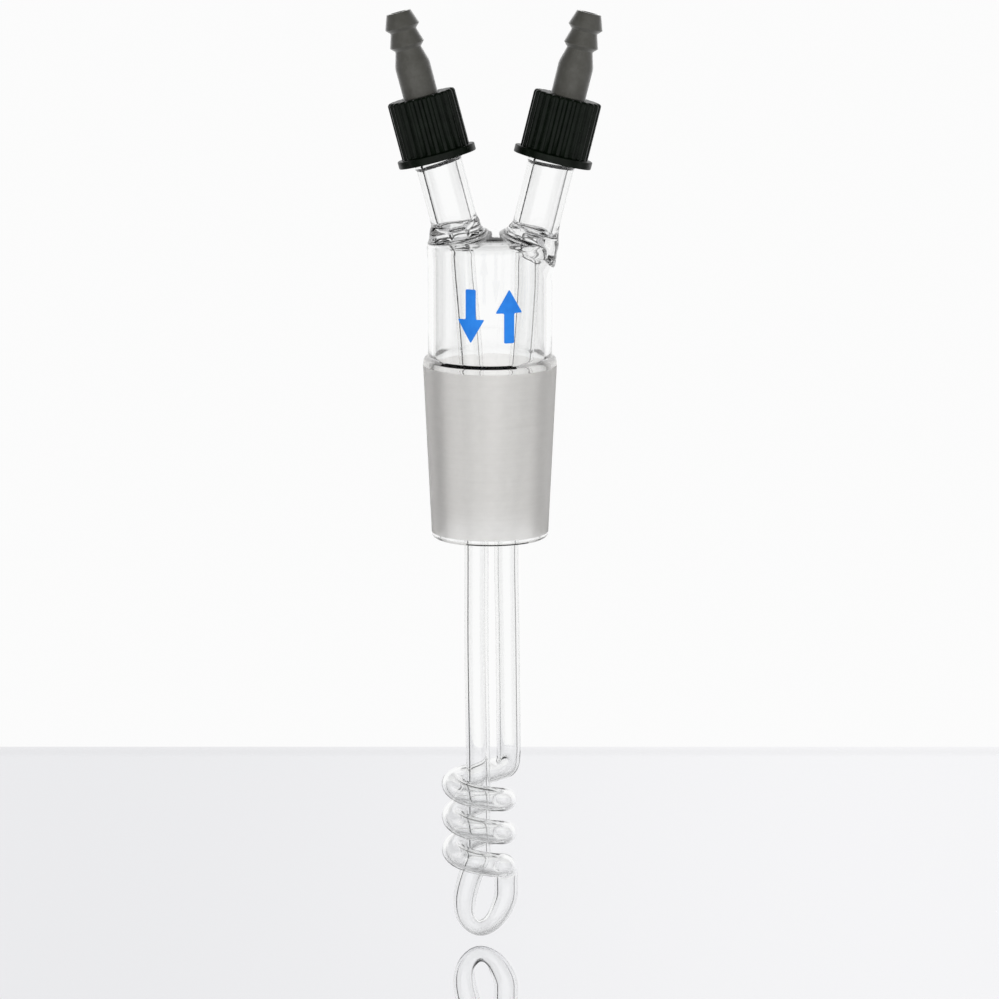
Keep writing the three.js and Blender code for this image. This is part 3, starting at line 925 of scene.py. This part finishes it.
def ground_glass():
    """Ground zone: fine matte grain with the faint rings that grinding leaves."""
    m, n, s = new_material("ground_glass")
    s.inputs["IOR"].default_value = GLASS_IOR
    s.inputs["Transmission Weight"].default_value = 1.0
    rings = n.noise(1500, 3, 0.65, (0.03, 0.03, 1))
    patches = n.noise(420, 4, 0.65)
    tone = n.weighted(rings, 0.4, patches, 0.6)
    n.set(s.inputs["Base Color"], n.colour(tone, (0.64, 0.625, 0.605), (0.98, 0.965, 0.945)))
    rough = n.weighted(rings, 0.12, patches, 0.3)  # 0.21 on average
    n.set(s.inputs["Roughness"], n.math("ADD", rough, GROUND_ROUGHNESS - 0.21))
    grain = n.math("ADD", n.noise(5200, 4, 0.7), n.math("MULTIPLY", rings, 0.7))
    n.set(s.inputs["Normal"], n.bump(grain, 8e-6))
    return m


def plastic(name, dark, light, roughness, grain, gloss=0.5, sheen=0.0):
    """Moulded plastic: fine grain (its depth in metres), faint flow mottling and scuffed patches."""
    m, n, s = new_material(name)
    s.inputs["Specular IOR Level"].default_value = gloss
    s.inputs["Sheen Weight"].default_value = sheen
    s.inputs["Sheen Roughness"].default_value = 0.4
    n.set(s.inputs["Base Color"], n.colour(n.smooth(n.noise(420, 5, 0.6), 0.3, 0.7), dark, light))
    scuffs = n.smooth(n.noise(1500, 4, 0.6), 0.35, 0.7, roughness - 0.06, roughness + 0.1)
    n.set(s.inputs["Roughness"], scuffs)
    n.set(s.inputs["Normal"], n.bump(n.noise(5200, 3, 0.55), grain))
    return m


# In the order of clear, ground and the painted shade line's near-black glass
glass.data.materials.append(glass_material("clear_glass", (0.998, 1.0, 0.999)))
glass.data.materials.append(ground_glass())
# painted shade: near-black glass for the dark lines on the front ledge and under the rim, standing in for
# dark edges drawn by refraction
glass.data.materials.append(glass_material("painted_shade_line", (0.0006, 0.0006, 0.0006)))

cap_plastic = plastic("cap_plastic", (0.001, 0.0022, 0.001), (0.003, 0.0052, 0.003), 0.34, 5e-6, 0.16)
nozzle_plastic = plastic("nozzle_plastic", (0.043, 0.042, 0.036), (0.056, 0.055, 0.049), 0.5, 6e-6, 0.5, 0.6)
silicone = plastic("silicone", (0.62, 0.59, 0.53), (0.72, 0.70, 0.64), 0.55, 4e-6)
enamel = plastic("blue_enamel", (0.0105, 0.145, 0.535), (0.0145, 0.175, 0.60), 0.4, 3e-6, 0.25)

for side in ARMS:
    for piece, body, node, slot, material in (
        (cap(side), "cap", "screw_cap", "cap_plastic", cap_plastic),
        (nozzle(side), "nozzle", "hose_nozzle", "nozzle_plastic", nozzle_plastic),
        (seal(side), "nozzle", "seal_ring", "silicone", silicone),
    ):
        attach(piece, f"{side}_{body}")
        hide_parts(f"{side}_{node}")
        piece.data.materials.append(material)

for name, x, direction in (("inlet_arrow", -ARROW_X, -1), ("outlet_arrow", ARROW_X, 1)):
    mark = arrow(name, x, ARROW_Z, direction)
    mark.data.materials.append(enamel)
    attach(mark, "glass")

# ---------------------------------------------------------------- stage

FLOOR_DROP = 1.75  # below the object, which hangs free
FLOOR_HALF = 232
FLOOR_CORNER = 90  # radius
FLOOR_CORNER_STEPS = 17
FLOOR_RIDGE = 0.62  # height of the soft ridge at its edge
FLOOR_RIDGE_WIDTH = 11
FLOOR_RIDGE_STEPS = 12
FLOOR_PAINTED_LIGHT_HALF = 0.12  # metres to either side over which its reflection grows lighter towards +X; this is painted light
FLOOR_GLOSS = (0.35, 0.8)  # Facing between which the reflection sets in
STRIP_AT = math.radians(66)  # the dark strips' middle, off straight ahead and straight behind
STRIP_HALF = math.radians(17)
STRIP_EDGE = math.radians(2)
STRIP_LEFT = 0.01
STRIP_RIGHT = 0.3
TOP_FROM = math.radians(28)  # the ceiling darkens between these heights
TOP_TO = math.radians(38)
TOP_LEVEL = 0.03
BACKDROP = 0.97
FILL_DISTANCE = 900
FILL_HEIGHT = 360
FILL_SIZE = 700
FILL_POWER = 9.0  # watts


def world():
    """Bright field all round, with four dark strips and a dark ceiling that draw the glass's edges."""
    w = bpy.data.worlds.new("studio")
    bpy.context.scene.world = w
    w.use_nodes = True
    t = w.node_tree
    n = Nodes(t)
    coord = t.nodes.new("ShaderNodeTexCoord")
    sep = t.nodes.new("ShaderNodeSeparateXYZ")
    n.set(sep.inputs[0], coord.outputs["Generated"])
    x, y, z = sep.outputs
    azimuth = n.math("ARCTAN2", n.math("ABSOLUTE", x), n.math("ABSOLUTE", y))
    off = n.math("ABSOLUTE", n.math("SUBTRACT", azimuth, STRIP_AT))
    level = n.math("MULTIPLY", n.math("GREATER_THAN", x, 0.0), STRIP_RIGHT - STRIP_LEFT)
    level = n.math("ADD", level, STRIP_LEFT)
    strip = n.smooth(off, STRIP_HALF - STRIP_EDGE, STRIP_HALF, level, 1.0)
    top = n.smooth(n.math("ARCSINE", z), TOP_FROM, TOP_TO, 1.0, TOP_LEVEL)
    bg = t.nodes["Background"]
    n.set(bg.inputs["Strength"], n.math("MULTIPLY", n.math("MULTIPLY", strip, top), BACKDROP))
    bg.inputs["Color"].default_value = (1, 1, 1, 1)


def fill_lights():
    """Soft light on the opaque pieces from the front and from the back."""
    for name, y in (("fill_front", -FILL_DISTANCE), ("fill_back", FILL_DISTANCE)):
        data = bpy.data.lights.new(name, "AREA")
        data.size = FILL_SIZE * MM
        data.energy = FILL_POWER
        obj = bpy.data.objects.new(name, data)
        obj.location = Vector((0, y, FILL_HEIGHT)) * MM
        obj.rotation_euler = (-obj.location).to_track_quat("-Z", "Y").to_euler()
        obj.visible_glossy = False
        obj.visible_transmission = False
        bpy.context.scene.collection.objects.link(obj)


def floor():
    """Rounded square with a soft ridge along its edge, pale from above and glossy at a low angle."""
    z = cad_box[0][2] / MM - FLOOR_DROP
    straight = FLOOR_HALF - FLOOR_CORNER
    steps = np.linspace(0, 1, FLOOR_RIDGE_STEPS + 1)
    rise = FLOOR_RIDGE * smooth_step(0, 1, 1 - steps)
    rings = []
    for inset, up in zip(FLOOR_RIDGE_WIDTH * steps, rise):
        r = FLOOR_CORNER - inset
        for quarter, (sx, sy) in enumerate(((1, 1), (-1, 1), (-1, -1), (1, -1))):
            for a in np.linspace(quarter, quarter + 1, FLOOR_CORNER_STEPS) * math.pi / 2:
                x = sx * straight + r * math.cos(a)
                y = sy * straight + r * math.sin(a)
                rings.append((x, y, z + up))
    around = 4 * FLOOR_CORNER_STEPS
    faces = [list(range(len(rings) - around, len(rings)))]
    for i in range(FLOOR_RIDGE_STEPS):
        a, b = i * around, (i + 1) * around
        for j in range(around):
            k = (j + 1) % around
            faces.append((a + j, a + k, b + k, b + j))
    obj = mesh_object("studio_floor", rings, faces)
    m, n, pale = new_material("studio_floor")
    t = m.node_tree
    pale.inputs["Base Color"].default_value = (0.6, 0.6, 0.61, 1)
    pale.inputs["Roughness"].default_value = 0.5
    gloss = t.nodes.new("ShaderNodeBsdfGlossy")
    coord = t.nodes.new("ShaderNodeTexCoord")
    sep = t.nodes.new("ShaderNodeSeparateXYZ")
    n.set(sep.inputs[0], coord.outputs["Object"])
    # painted light: the reflection's colour is lighter towards +X
    across = n.smooth(sep.outputs[0], -FLOOR_PAINTED_LIGHT_HALF, FLOOR_PAINTED_LIGHT_HALF)
    n.set(gloss.inputs["Color"], n.colour(across, (0.86, 0.862, 0.88), (0.95, 0.95, 0.965)))
    gloss.inputs["Roughness"].default_value = 0.03
    weight = t.nodes.new("ShaderNodeLayerWeight")
    weight.inputs["Blend"].default_value = 0.5
    mix = t.nodes.new("ShaderNodeMixShader")
    n.set(mix.inputs["Fac"], n.smooth(weight.outputs["Facing"], *FLOOR_GLOSS))
    t.links.new(pale.outputs[0], mix.inputs[1])
    t.links.new(gloss.outputs[0], mix.inputs[2])
    t.links.new(mix.outputs[0], t.nodes["Material Output"].inputs["Surface"])
    obj.data.materials.append(m)


world()
fill_lights()
floor()

# ---------------------------------------------------------------- camera

CAMERA_DISTANCE = 2322
CAMERA_ELEVATION = math.radians(10.1)
CAMERA_PITCH = math.radians(10.95)
CAMERA_X = 2.45
SENSOR_WIDTH = 36
LENS_FACTOR = 9000 / 999  # focal length over sensor width


def camera():
    data = bpy.data.cameras.new("camera")
    data.sensor_width = SENSOR_WIDTH
    data.lens = SENSOR_WIDTH * LENS_FACTOR
    data.clip_start = 0.1
    data.clip_end = 20
    obj = bpy.data.objects.new("camera", data)
    obj.location = Vector((
        CAMERA_X,
        -CAMERA_DISTANCE * math.cos(CAMERA_ELEVATION),
        CAMERA_DISTANCE * math.sin(CAMERA_ELEVATION),
    )) * MM
    obj.rotation_euler = (math.pi / 2 - CAMERA_PITCH, 0, 0)
    bpy.context.scene.collection.objects.link(obj)
    bpy.context.scene.camera = obj


camera()

scene = bpy.context.scene
scene.view_settings.view_transform = "Standard"
scene.cycles.max_bounces = 32
scene.cycles.transmission_bounces = 32
scene.cycles.glossy_bounces = 8
